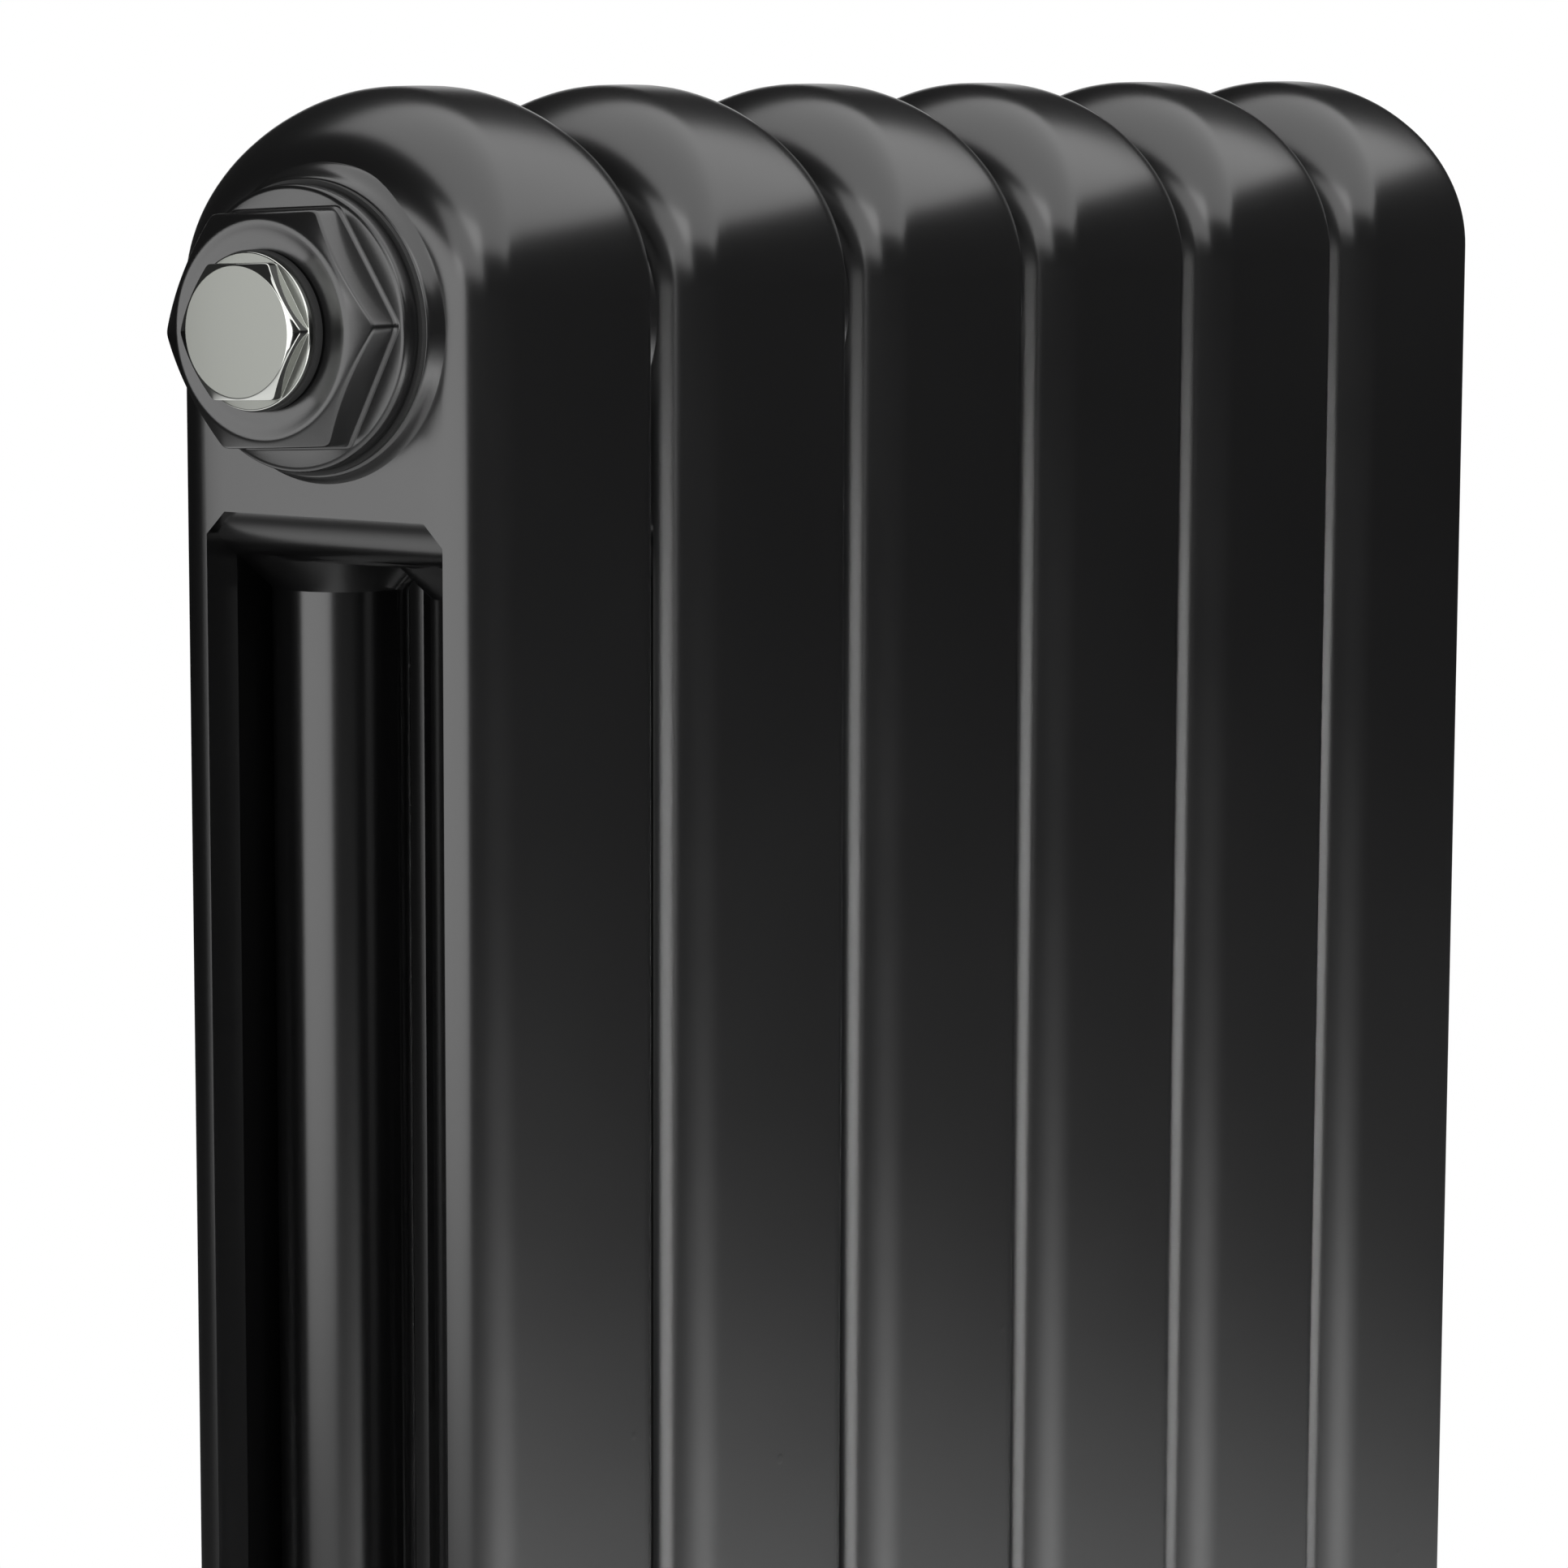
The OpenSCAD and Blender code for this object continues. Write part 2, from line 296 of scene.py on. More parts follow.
def flared_tube(side):
    """Water tube whose radius grows by a quarter circle where it runs into each header, with the mould's
    parting line as a thin ridge down its front and rear.

    The flare starts 1 mm inside the header's belly, which is just as wide there, so its end is hidden."""
    reach = np.linspace(0, 1, 14)
    climb = COVE_R * np.sin(reach * math.pi / 2)
    grow = COVE_R * (1 - np.cos((1 - reach) * math.pi / 2)) + (1 - reach) * 0.01
    foot, crown = WINDOW_LOW + BELLY_H - 1, WINDOW_HIGH - BELLY_H + 1
    low = np.column_stack([foot + climb, TUBE_R + grow])
    high = np.column_stack([crown - climb, TUBE_R + grow])[::-1]
    over = BELLY_H + 6.0
    ends = np.array([[foot - over, TUBE_R + COVE_R]]), np.array([[crown + over, TUBE_R + COVE_R]])
    profile = np.concatenate([ends[0], low, high, ends[1]])
    angles = np.linspace(0, 2 * math.pi, 144, endpoint=False)
    off_line = (np.abs(np.cos(angles)) * TUBE_R / 0.7) ** 2
    ridge = 0.35 * np.exp(-off_line)
    radius = profile[:, 1:] + ridge
    x = radius * np.cos(angles)
    y = side * TUBE_Y + radius * np.sin(angles)
    z = np.broadcast_to(profile[:, :1], x.shape)
    return grid_object("flared_tube", np.stack([x, y, z], axis=-1), close_columns=True, caps=True)


def air_void():
    """The space between the plates, less the headers' rounded undersides and the two water tubes."""
    over = 5.0
    half_w = SECTION_W / 2
    y, c = DEPTH / 2 - PLATE_D, WINDOW_CHAMFER
    low, high = WINDOW_LOW, WINDOW_HIGH
    outline = [
        (-y + c, low), (y - c, low), (y, low + c), (y, high - c),
        (y - c, high), (-y + c, high), (-y, high - c), (-y, low + c),
    ]
    void = prism("air_void", outline, -half_w - over, half_w + over)
    hollow_y = DEPTH / 2 - PLATE_T
    near_corner = (-half_w + FLANGE_W, -hollow_y, low + 2 * c)
    far_corner = (half_w - FLANGE_W, hollow_y, high - 2 * c)
    boolean(void, box("plate_hollow", near_corner, far_corner), "UNION")
    for edge, inward in ((low, 1), (high, -1)):
        boolean(void, header_belly(edge, inward), "DIFFERENCE")
    for side in (-1, 1):
        boolean(void, flared_tube(side), "DIFFERENCE")
    return void


def header_belly(edge, inward):
    """Rounded underside of a header, as a bar along Y. It starts LEDGE in from the side faces at the window's
    edge and bulges by BELLY_H into the window, as two quarter ellipses with a flat between them."""
    half = SECTION_W / 2 - LEDGE
    turn = np.linspace(0, math.pi / 2, 12)
    x = -half + BELLY_W * (1 - np.cos(turn))
    z = edge + inward * BELLY_H * np.sin(turn)
    back = edge - inward * 8.0
    x = np.concatenate([[-half], x, -x[::-1], [half]])
    z = np.concatenate([[back], z, z[::-1], [back]])
    ends = [np.column_stack([x, np.full(len(x), y), z]) for y in (-DEPTH / 2 + 0.5, DEPTH / 2 - 0.5)]
    return grid_object("header_belly", np.stack(ends), close_columns=True, caps=True)


def header_bore(height):
    """Round way through a header from hub to hub."""
    angles = np.linspace(0, 2 * math.pi, 64, endpoint=False)
    reach = SECTION_W / 2 + HUB_OUT + 2
    keys = np.array([[-reach, PORT_R], [reach, PORT_R]])[:, None, :] * np.ones((1, 64, 1))
    return grid_object("header_bore", round_axis(keys, angles, 1, 0.0, height), close_columns=True, caps=True)


def hub(side, height):
    """Hub ring: a cone with a hollow root that runs out on the casting's side, and a turned face."""
    angles = np.linspace(0, 2 * math.pi, 120, endpoint=False)
    root = SECTION_W / 2
    keys = [
        (root - 8, PORT_R + 0.4), (root - 8, HUB_ROOT_R - 1), (root - 1.4, HUB_ROOT_R + 0.6),
        (root + 0.3, HUB_ROOT_R - 1.0), (root + HUB_OUT, HUB_R), (root + HUB_OUT, PORT_R + 0.4),
        (root - 8, PORT_R + 0.4),
    ]
    cuts = [0, 0, 0.8, 1.0, 0.9, 0.3, 0]
    keys = np.array(keys)[:, None, :] * np.ones((1, len(angles), 1))
    profile = rounded(keys, cuts)[:-1]
    grid = round_axis(profile, angles, side, 0.0, height)
    return grid_object("hub", grid, close_rows=True, close_columns=True)


def cast_foot():
    """Foot as a column with a rounded plan that spreads into a pad, less the arch between its two legs."""
    near_pad = PAD_H * np.array([0.5, 1.0, 1.5, 2.2, 3.5])
    levels = np.concatenate([[0, 0.6], near_pad, [60.0, FOOT_H + 30.0]])
    spread = (PAD_OUT / (1 + (levels / PAD_H) ** 3))[:, None]
    shrink = np.where(levels == 0, 0.9, 1.0)[:, None]
    turn = np.linspace(0, 2 * math.pi, 64, endpoint=False)
    corner = FOOT_CORNER_R * np.stack([np.cos(turn), np.sin(turn)])
    quarter = np.sign(corner + 1e-9)
    x = (FOOT_W / 2 - FOOT_CORNER_R + spread) * quarter[0] + corner[0] * shrink
    y = (DEPTH / 2 - FOOT_CORNER_R) * quarter[1] + corner[1] * shrink
    z = np.broadcast_to(levels[:, None], x.shape)
    foot = grid_object("cast_foot", np.stack([x, y, z], axis=-1), close_columns=True, caps=True)
    bend = np.linspace(0, math.pi, 33)
    arch = [(ARCH_R * math.cos(a), ARCH_TOP - ARCH_R + 11 + ARCH_R * math.sin(a)) for a in bend]
    outline = [(ARCH_R, -5.0)] + arch + [(-ARCH_R, -5.0)]
    boolean(foot, prism("arch", outline, -SECTION_W, SECTION_W), "DIFFERENCE")
    return foot


def make_castings(paint):
    """One plain casting, copied along the row. The first and last have a foot. Gives all of them in order."""
    castings = []
    plain = casting_form()
    boolean(plain, air_void(), "DIFFERENCE")
    for height in PORT_HEIGHTS:
        boolean(plain, header_bore(height), "DIFFERENCE")
    for n in range(1, SECTION_COUNT + 1):
        name = f"casting_{n}"
        parts = [copied(plain, "body")]
        parts += [hub(side, height) for side in (-1, 1) for height in PORT_HEIGHTS]
        if n in (1, SECTION_COUNT):
            parts.append(cast_foot())
        piece = join(name, parts)
        piece.data.transform(Matrix.Translation(Vector(((n - 1) * PITCH - ROW_HALF, 0, 0)) * MM))
        soften(piece, 32)
        piece.data.materials.append(paint)
        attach(piece, "radiator")
        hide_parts(f"section_{n}")
        castings.append(piece)
    bpy.data.objects.remove(plain)
    return castings


# ---------------------------------------------------------------- turned fittings

def hex_radius(angles, across_flats, turn):
    """Distance from the axis to a hexagon's side in each direction, with its corners softened.

    It is half the width across flats, over the sum of the cosines to the six sides, each raised to a high
    power and the sum brought back by its root. The higher the power, the sharper the corners."""
    sides = np.radians(turn) + np.radians(30) + np.arange(6) * math.pi / 3
    toward = np.maximum(np.cos(angles[:, None] - sides), 0)
    return across_flats / 2 / (toward ** CORNER_POWER).sum(axis=1) ** (1 / CORNER_POWER)


def turned_piece(name, keys, cuts, angles, side, start, height):
    """Closed ring or plug from key outlines, one for each direction round the axis."""
    profile = rounded(keys, cuts)
    closed = np.allclose(profile[0], profile[-1])
    if closed:
        profile = profile[:-1]
    grid = round_axis(profile, angles, side, start, height)
    return grid_object(name, grid, close_rows=closed, close_columns=True, caps=not closed)


def key_outline(angles, corners):
    """Stacks corners, each an (along, radius) pair, into a (corners, directions, 2) array."""
    ones = np.ones(len(angles))
    return np.stack([np.stack([along * ones, radius * ones], axis=1) for along, radius in corners])


def bushing(name, side, height, paint):
    """Reducing bushing: thread, flange and a hexagon whose corners are turned down to a round land."""
    angles = np.linspace(0, 2 * math.pi, 360, endpoint=False)
    turn = -BUSHING_TURN if side < 0 else BUSHING_TURN
    hexagon = hex_radius(angles, BUSHING_AF, turn)
    face = FLANGE_T + BUSHING_HEX_L
    drop = (hexagon - BUSHING_LAND_R) * CHAMFER_SLOPE
    inner = -BUSHING_THREAD_L - JOINT_GAP
    corners = [
        (inner, SMALL_PORT_R), (inner, PORT_R - 0.8), (inner + 1.5, PORT_R - 0.06), (0.0, PORT_R - 0.06),
        (0.0, FLANGE_R), (FLANGE_T, FLANGE_R), (FLANGE_T + 0.2, hexagon + 0.5),
        (FLANGE_T + 0.8, hexagon), (face - drop, hexagon), (face, BUSHING_LAND_R),
        (face - 0.35, BUSHING_LAND_R - 2.2), (face - 0.35, SMALL_PORT_R + 1.0), (face - 1.3, SMALL_PORT_R),
        (inner, SMALL_PORT_R),
    ]
    cuts = [0, 0.2, 0.2, 0, 0.7, 1.0, 0.25, 0.3, 0.55, 0.7, 0.9, 0.3, 0.3, 0]
    piece = turned_piece(name, key_outline(angles, corners), cuts, angles, side, FLANGE_FACE, height)
    soften(piece, 40)
    piece.data.materials.append(paint)
    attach(piece, "radiator")
    return piece


def chromed_plug(chrome, shaded_chrome_face):
    """Blank plug in the top left bushing: thread, collar and a hexagon turned down to a round face, which is
    rougher than the flats and darker in colour, the darker colour being painted shade.

    Its outline stops AXIS_R short of the axis, and one small face closes it at each end."""
    angles = np.linspace(0, 2 * math.pi, 240, endpoint=False)
    hexagon = hex_radius(angles, PLUG_AF, -PLUG_TURN)
    thread_r = SMALL_PORT_R - 0.06
    drop = (hexagon - PLUG_LAND_R) * CHAMFER_SLOPE
    inner = -PLUG_THREAD_L - RING_T
    corners = [
        (inner, AXIS_R), (inner, thread_r - 0.6), (inner + 1.2, thread_r), (0.0, thread_r),
        (0.0, PLUG_COLLAR_R), (PLUG_COLLAR_T, PLUG_COLLAR_R), (PLUG_COLLAR_T + 0.05, hexagon),
        (PLUG_HEX_L - drop, hexagon), (PLUG_HEX_L, PLUG_LAND_R), (PLUG_HEX_L, AXIS_R),
    ]
    cuts = [0, 0.2, 0.2, 0, 0.2, 0.3, 0.05, 0.16, 0.2, 0]
    keys = key_outline(angles, corners)
    piece = turned_piece("chromed_plug", keys, cuts, angles, -1, HEX_FACE + RING_T, PORT_HEIGHTS[1])
    soften(piece, 28)
    piece.data.materials.append(chrome)
    piece.data.materials.append(shaded_chrome_face)
    # Faces pointing along the axis get the rougher, darker chrome: its darker colour is painted shade
    normals = np.empty(len(piece.data.polygons) * 3)
    piece.data.polygons.foreach_get("normal", normals)
    outer = np.abs(normals.reshape(-1, 3)[:, 0]) > 0.97
    piece.data.polygons.foreach_set("material_index", outer.astype(np.int32))
    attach(piece, "radiator")
    return piece


def make_fittings(paint, chrome, shaded_chrome_face):
    """The four bushings and the blank plug."""
    for side, end in ((-1, "left"), (1, "right")):
        for height, level in zip(PORT_HEIGHTS, ("bottom", "top")):
            piece = bushing(f"painted_bushing_{level}_{end}", side, height, paint)
            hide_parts(f"bushing_{level}_{end}")
    plug = chromed_plug(chrome, shaded_chrome_face)
    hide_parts("blank_plug")


# ---------------------------------------------------------------- finishes

def node_tree(name):
    """New material with an empty node tree but for the output and one Principled shader."""
    material = bpy.data.materials.new(name)
    material.use_nodes = True
    tree = material.node_tree
    tree.nodes.clear()
    output = tree.nodes.new("ShaderNodeOutputMaterial")
    shader = tree.nodes.new("ShaderNodeBsdfPrincipled")
    tree.links.new(shader.outputs["BSDF"], output.inputs["Surface"])
    return material, tree, shader


def group_input(group, name, value):
    socket = group.interface.new_socket(name, in_out="INPUT", socket_type="NodeSocketFloat")
    socket.default_value = value


def math_node(nodes, links, operation, first, second):
    """One Math node. first and second are sockets or numbers."""
    made = nodes.new("ShaderNodeMath")
    made.operation = operation
    for socket, value in zip(made.inputs, (first, second)):
        if isinstance(value, (int, float)):
            socket.default_value = value
        else:
            links.new(value, socket)
    return made.outputs[0]


def casting_skin_group():
    """Painted sand casting: slow waviness, fine orange peel and rare specks, as a height and a drift.

    Height is a slow noise, a fine noise and a sparse speck term, each times its own input."""
    group = bpy.data.node_groups.new("casting_skin", "ShaderNodeTree")
    group_input(group, "Wave", 1.0)
    group_input(group, "Peel", 1.0)
    group_input(group, "Specks", 1.0)
    for name in ("Height", "Sheen Drift"):
        group.interface.new_socket(name, in_out="OUTPUT", socket_type="NodeSocketFloat")
    nodes, links = group.nodes, group.links
    entry = nodes.new("NodeGroupInput")
    leave = nodes.new("NodeGroupOutput")
    place = nodes.new("ShaderNodeTexCoord")
    wave = nodes.new("ShaderNodeTexNoise")
    wave.inputs["Scale"].default_value = 22.0
    wave.inputs["Detail"].default_value = 1.0
    peel = nodes.new("ShaderNodeTexNoise")
    peel.inputs["Scale"].default_value = 700.0
    peel.inputs["Detail"].default_value = 3.0
    dots = nodes.new("ShaderNodeTexVoronoi")
    dots.inputs["Scale"].default_value = 48.0
    for texture in (wave, peel, dots):
        links.new(place.outputs["Object"], texture.inputs["Vector"])
    speck = nodes.new("ShaderNodeMapRange")
    speck.inputs["From Min"].default_value = 0.05
    speck.inputs["From Max"].default_value = 0.03
    links.new(dots.outputs["Distance"], speck.inputs["Value"])
    slow = math_node(nodes, links, "MULTIPLY", wave.outputs["Fac"], entry.outputs["Wave"])
    fine = math_node(nodes, links, "MULTIPLY", peel.outputs["Fac"], entry.outputs["Peel"])
    fine = math_node(nodes, links, "MULTIPLY", fine, 0.02)
    bumps = math_node(nodes, links, "MULTIPLY", speck.outputs["Result"], entry.outputs["Specks"])
    bumps = math_node(nodes, links, "MULTIPLY", bumps, 0.12)
    height = math_node(nodes, links, "ADD", slow, fine)
    height = math_node(nodes, links, "ADD", height, bumps)
    links.new(height, leave.inputs["Height"])
    links.new(wave.outputs["Fac"], leave.inputs["Sheen Drift"])
    return group


def black_paint(name, skin, wave, peel, specks, roughness):
    """Satin black enamel over cast iron. Its sheen drifts a little with the waviness."""
    material, tree, shader = node_tree(name)
    nodes, links = tree.nodes, tree.links
    cast = nodes.new("ShaderNodeGroup")
    cast.node_tree = skin
    cast.inputs["Wave"].default_value = wave
    cast.inputs["Peel"].default_value = peel
    cast.inputs["Specks"].default_value = specks
    bump = nodes.new("ShaderNodeBump")
    bump.inputs["Strength"].default_value = 0.30
    bump.inputs["Distance"].default_value = 0.0004
    links.new(cast.outputs["Height"], bump.inputs["Height"])
    links.new(bump.outputs["Normal"], shader.inputs["Normal"])
    drift = nodes.new("ShaderNodeMapRange")
    drift.inputs["To Min"].default_value = roughness - 0.03
    drift.inputs["To Max"].default_value = roughness + 0.03
    links.new(cast.outputs["Sheen Drift"], drift.inputs["Value"])
    links.new(drift.outputs["Result"], shader.inputs["Roughness"])
    shader.inputs["Base Color"].default_value = (*PAINT_COLOUR, 1.0)
    shader.inputs["Specular IOR Level"].default_value = PAINT_GLOSS
    return material


def metal(name, skin, colour, roughness, wave, metallic=1.0):
    """Bare or plated metal, or rubber when metallic is 0, with faint unevenness."""
    material, tree, shader = node_tree(name)
    nodes, links = tree.nodes, tree.links
    cast = nodes.new("ShaderNodeGroup")
    cast.node_tree = skin
    cast.inputs["Wave"].default_value = wave
    cast.inputs["Peel"].default_value = 0.5
    cast.inputs["Specks"].default_value = 0.0
    bump = nodes.new("ShaderNodeBump")
    bump.inputs["Strength"].default_value = 0.15
    bump.inputs["Distance"].default_value = 0.0003
    links.new(cast.outputs["Height"], bump.inputs["Height"])
    links.new(bump.outputs["Normal"], shader.inputs["Normal"])
    shader.inputs["Base Color"].default_value = (*colour, 1.0)
    shader.inputs["Roughness"].default_value = roughness
    shader.inputs["Metallic"].default_value = metallic
    return material


def dress(frame, names, material):
    """Gives CAD nodes a material in every slot."""
    for name in names:
        node = frame["nodes"][name]
        if not node.data.materials:
            node.data.materials.append(material)
        for slot in node.material_slots:
            slot.material = material


# ---------------------------------------------------------------- studio

def quad_light(name, place, target, size, power, turn=0):
    """Rectangular lamp at place that faces target. size is (width, height) in metres, and turn is in degrees
    round the way it faces."""
    lamp = bpy.data.lights.new(name, "AREA")
    lamp.shape = "RECTANGLE"
    lamp.size, lamp.size_y = size
    lamp.energy = power
    lamp_object = bpy.data.objects.new(name, lamp)
    bpy.context.scene.collection.objects.link(lamp_object)
    direction = Vector(target) - Vector(place)
    lamp_object.location = place
    lamp_object.rotation_mode = "QUATERNION"
    roll = Matrix.Rotation(math.radians(turn), 3, "Z").to_quaternion()
    lamp_object.rotation_quaternion = direction.to_track_quat("-Z", "Y") @ roll
    lamp_object.visible_camera = False
    return lamp_object


def make_camera():
    """The camera's axes come from its yaw from +X, its pitch below the horizon and its roll."""
    yaw, pitch, roll = (math.radians(a) for a in (CAMERA_YAW, CAMERA_PITCH, CAMERA_ROLL))
    ahead = Vector((math.cos(yaw) * math.cos(pitch), math.sin(yaw) * math.cos(pitch), -math.sin(pitch)))
    level = Vector((math.sin(yaw), -math.cos(yaw), 0.0))
    down = ahead.cross(level)
    right = math.cos(roll) * level + math.sin(roll) * down
    up = math.sin(roll) * level - math.cos(roll) * down
    camera = bpy.data.cameras.new("photo_camera")
    camera.lens = CAMERA_LENS
    camera.sensor_width = SENSOR_WIDTH
    camera.shift_y = CAMERA_SHIFT
    camera.clip_start, camera.clip_end = 0.05, 100.0
    camera_object = bpy.data.objects.new("photo_camera", camera)
    bpy.context.scene.collection.objects.link(camera_object)
    axes = Matrix((right, up, -ahead)).transposed().to_4x4()
    camera_object.matrix_world = Matrix.Translation(CAMERA_PLACE) @ axes
    bpy.context.scene.camera = camera_object


def make_floor():
    """Floor with a painted pool of light: pale round its centre and, as painted shade, near black further
    off.
    To the camera it turns plain white away from the object, and close by it keeps the shadow.
    Close to the object it glows white to glossy rays, a painted reflection of a lit floor."""
    h = FLOOR_HALF / MM
    floor = mesh_object("studio_floor", [(-h, -h, 0), (h, -h, 0), (h, h, 0), (-h, h, 0)], [(0, 1, 2, 3)])
    material, tree, shader = node_tree("studio_floor")
    nodes, links = tree.nodes, tree.links
    shader.inputs["Roughness"].default_value = 0.9
    white = nodes.new("ShaderNodeEmission")
    white.inputs["Strength"].default_value = 1.0
    path = nodes.new("ShaderNodeLightPath")
    place = nodes.new("ShaderNodeTexCoord")
    # Painted pool of light: the floor's colour goes from pale at the centre to painted shade further off
    from_pool_centre = nodes.new("ShaderNodeVectorMath")
    from_pool_centre.operation = "DISTANCE"
    from_pool_centre.inputs[1].default_value = PAINTED_LIGHT_POOL_CENTRE
    links.new(place.outputs["Object"], from_pool_centre.inputs[0])
    painted_pool_falloff = nodes.new("ShaderNodeMapRange")
    painted_pool_falloff.inputs["From Min"].default_value = 0.5
    painted_pool_falloff.inputs["From Max"].default_value = 1.8
    links.new(from_pool_centre.outputs["Value"], painted_pool_falloff.inputs["Value"])
    painted_floor_shade = nodes.new("ShaderNodeMix")
    painted_floor_shade.data_type = "RGBA"
    painted_floor_shade.inputs["A"].default_value = (*POOL_FLOOR_COLOUR, 1.0)
    painted_floor_shade.inputs["B"].default_value = (*PAINTED_SHADE_FLOOR_COLOUR, 1.0)
    links.new(painted_pool_falloff.outputs["Result"], painted_floor_shade.inputs["Factor"])
    links.new(painted_floor_shade.outputs["Result"], shader.inputs["Base Color"])
    away = nodes.new("ShaderNodeVectorMath")
    away.operation = "LENGTH"
    links.new(place.outputs["Object"], away.inputs[0])
    fade = nodes.new("ShaderNodeMapRange")
    fade.inputs["From Min"].default_value = 0.3
    fade.inputs["From Max"].default_value = 1.1
    fade.inputs["To Min"].default_value = 0.45
    fade.inputs["To Max"].default_value = 1.0
    links.new(away.outputs["Value"], fade.inputs["Value"])
    seen = math_node(nodes, links, "MULTIPLY", path.outputs["Is Camera Ray"], fade.outputs["Result"])
    # Painted reflection: near the object the floor glows white to glossy rays, whatever light falls there
    near = nodes.new("ShaderNodeMapRange")
    near.inputs["From Min"].default_value = 0.7
    near.inputs["From Max"].default_value = 1.1
    near.inputs["To Min"].default_value = 1.0
    near.inputs["To Max"].default_value = 0.0
    links.new(away.outputs["Value"], near.inputs["Value"])
    mirrored = math_node(nodes, links, "MULTIPLY", path.outputs["Is Glossy Ray"], near.outputs["Result"])
    seen = math_node(nodes, links, "ADD", seen, mirrored)
    mix = nodes.new("ShaderNodeMixShader")
    output = nodes["Material Output"]
    links.new(seen, mix.inputs["Fac"])
    links.new(shader.outputs["BSDF"], mix.inputs[1])
    links.new(white.outputs["Emission"], mix.inputs[2])
    links.new(mix.outputs["Shader"], output.inputs["Surface"])
    floor.data.materials.append(material)


def make_world():
    """White to the camera and through glass, grey light for what is matt, and for what is glossy a white
    backdrop in BACKDROP_DIRECTION, as wide as the photograph's field and a little more, in a dim room."""
    world = bpy.data.worlds.new("studio_world")
    bpy.context.scene.world = world
    world.use_nodes = True
    tree = world.node_tree
    nodes, links = tree.nodes, tree.links
    nodes.clear()
    output = nodes.new("ShaderNodeOutputWorld")
    back = nodes.new("ShaderNodeBackground")
    back.inputs["Color"].default_value = (1.0, 1.0, 1.0, 1.0)
    path = nodes.new("ShaderNodeLightPath")
    place = nodes.new("ShaderNodeTexCoord")
    toward = nodes.new("ShaderNodeVectorMath")
    toward.operation = "DOT_PRODUCT"
    toward.inputs[1].default_value = BACKDROP_DIRECTION
    links.new(place.outputs["Generated"], toward.inputs[0])
    backdrop = nodes.new("ShaderNodeMapRange")
    backdrop.inputs["From Min"].default_value = 0.955
    backdrop.inputs["From Max"].default_value = 0.985
    links.new(toward.outputs["Value"], backdrop.inputs["Value"])
    mirrored = math_node(nodes, links, "MULTIPLY", path.outputs["Is Glossy Ray"], backdrop.outputs["Result"])
    seen = math_node(nodes, links, "MAXIMUM", path.outputs["Is Camera Ray"], mirrored)
    seen = math_node(nodes, links, "MAXIMUM", seen, path.outputs["Is Transmission Ray"])
    glossy = math_node(nodes, links, "MULTIPLY", path.outputs["Is Glossy Ray"], GLOSSY_ROOM - ROOM_LIGHT)
    room = math_node(nodes, links, "ADD", glossy, ROOM_LIGHT)
    level = nodes.new("ShaderNodeMapRange")
    level.inputs["To Max"].default_value = 1.0
    links.new(seen, level.inputs["Value"])
    links.new(room, level.inputs["To Min"])
    links.new(level.outputs["Result"], back.inputs["Strength"])
    links.new(back.outputs["Background"], output.inputs["Surface"])


def light_flanks(lamp_object, flanks, only_blocker):
    """Lets a lamp reach only the castings behind the first, past their neighbours.

    In the photograph the left edge of each casting is as light as the first one's, though the casting before
    it stands in the way of anything on the left. only_blocker is the one small piece that stops this lamp."""
    lit = bpy.data.collections.new("lit_flanks")
    for piece in flanks:
        lit.objects.link(piece)
    blockers = bpy.data.collections.new("flank_blockers")
    blockers.objects.link(only_blocker)
    lamp_object.light_linking.receiver_collection = lit
    lamp_object.light_linking.blocker_collection = blockers
    lamp_object.data.cycles.use_multiple_importance_sampling = False


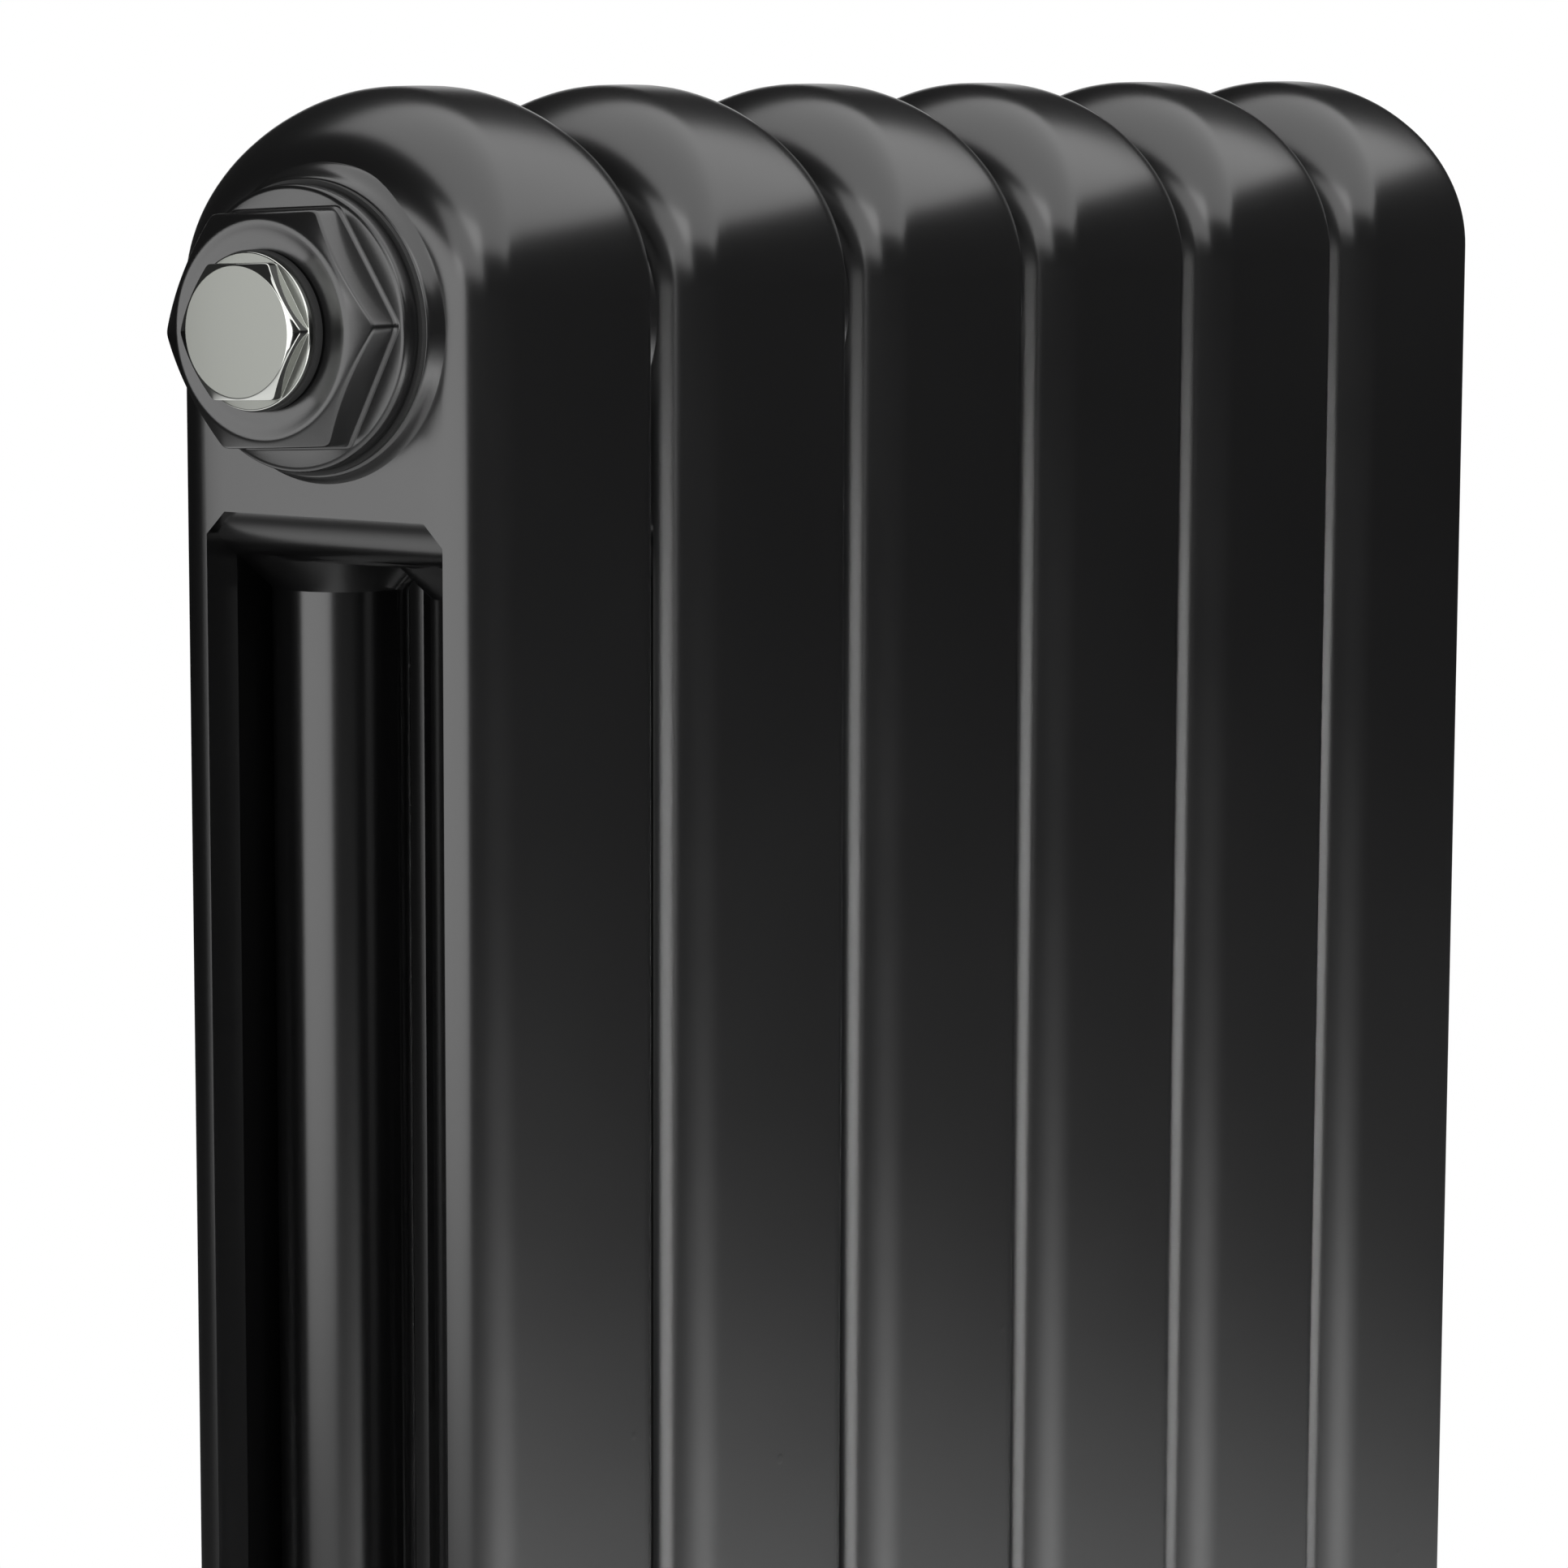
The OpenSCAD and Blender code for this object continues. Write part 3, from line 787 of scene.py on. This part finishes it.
def light_studio(flanks, only_blocker):
    """Soft lamps, each with its (width, height) in metres.

    The overhead box and the one behind the camera show in the domes, the box behind on the left in the side
    faces, and the floor under the front lamp, with its painted pool of light and its painted glow, in the
    lower ends of the front faces. That lamp itself shows in nothing glossy."""
    quad_light("overhead_box", (0.85, -1.48, 2.12), (0.85, -1.48, 0), (4.6, 4.0), 78, turn=-25)
    quad_light("behind_camera_box", (-1.50, -0.94, 1.58), (0, 0, 0.62), (1.9, 1.25), 10.5)
    quad_light("left_rear_box", (-1.96, 0.42, 0.63), (0, 0, 0.63), (2.5, 1.25), 20)
    floor_lamp = quad_light("front_floor_lamp", (-0.3, -1.3, 1.2), (-0.3, -1.3, 0), (0.8, 0.5), 50)
    floor_lamp.visible_glossy = False
    flank_lamp = quad_light("flank_lamp", (-2.0, 0.0, -0.03), (0, 0, -0.03), (0.9, 1.0), 7.5)
    light_flanks(flank_lamp, flanks, only_blocker)


# ---------------------------------------------------------------- the scene

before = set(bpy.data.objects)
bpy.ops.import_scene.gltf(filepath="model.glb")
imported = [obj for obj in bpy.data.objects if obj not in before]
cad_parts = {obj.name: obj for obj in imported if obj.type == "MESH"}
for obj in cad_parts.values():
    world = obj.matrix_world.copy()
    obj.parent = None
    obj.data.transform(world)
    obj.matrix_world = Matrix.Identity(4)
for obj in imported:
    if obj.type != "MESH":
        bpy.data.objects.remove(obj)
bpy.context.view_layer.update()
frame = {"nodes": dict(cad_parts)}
bpy.context.scene.view_settings.view_transform = "Standard"

make_camera()
make_world()
make_floor()

skin = casting_skin_group()
casting_paint = black_paint("casting_paint", skin, 1.0, 1.0, 1.0, PAINT_ROUGHNESS)
fitting_paint = black_paint("fitting_paint", skin, 0.4, 1.0, 0.4, PAINT_ROUGHNESS)
chrome = metal("polished_chrome", skin, (0.62, 0.63, 0.60), 0.06, 0.3)
# Rougher chrome for the plug's end face; its darker colour is painted shade
shaded_chrome_face = metal("rough_chrome_painted_shade", skin, (0.20, 0.205, 0.19), 0.22, 0.5)
nipple_iron = metal("nipple_iron", skin, (0.18, 0.17, 0.16), 0.5, 1.0)
seal = metal("seal_rubber", skin, (0.012, 0.012, 0.012), 0.6, 0.5, metallic=0.0)
brass = metal("turned_brass", skin, (0.45, 0.30, 0.10), 0.3, 0.3)

names = list(frame["nodes"])
dress(frame, [n for n in names if n.startswith("section_")], casting_paint)
dress(frame, [n for n in names if n.startswith("bushing_") and "gasket" not in n], fitting_paint)
dress(frame, [n for n in names if n.startswith("nipple_")], nipple_iron)
dress(frame, [n for n in names if "gasket" in n], seal)
dress(frame, ["blank_plug", "vent_body"], chrome)
dress(frame, ["bleed_screw"], brass)

castings = make_castings(casting_paint)
make_fittings(fitting_paint, chrome, shaded_chrome_face)
light_studio(castings[1:], frame["nodes"]["bleed_screw"])
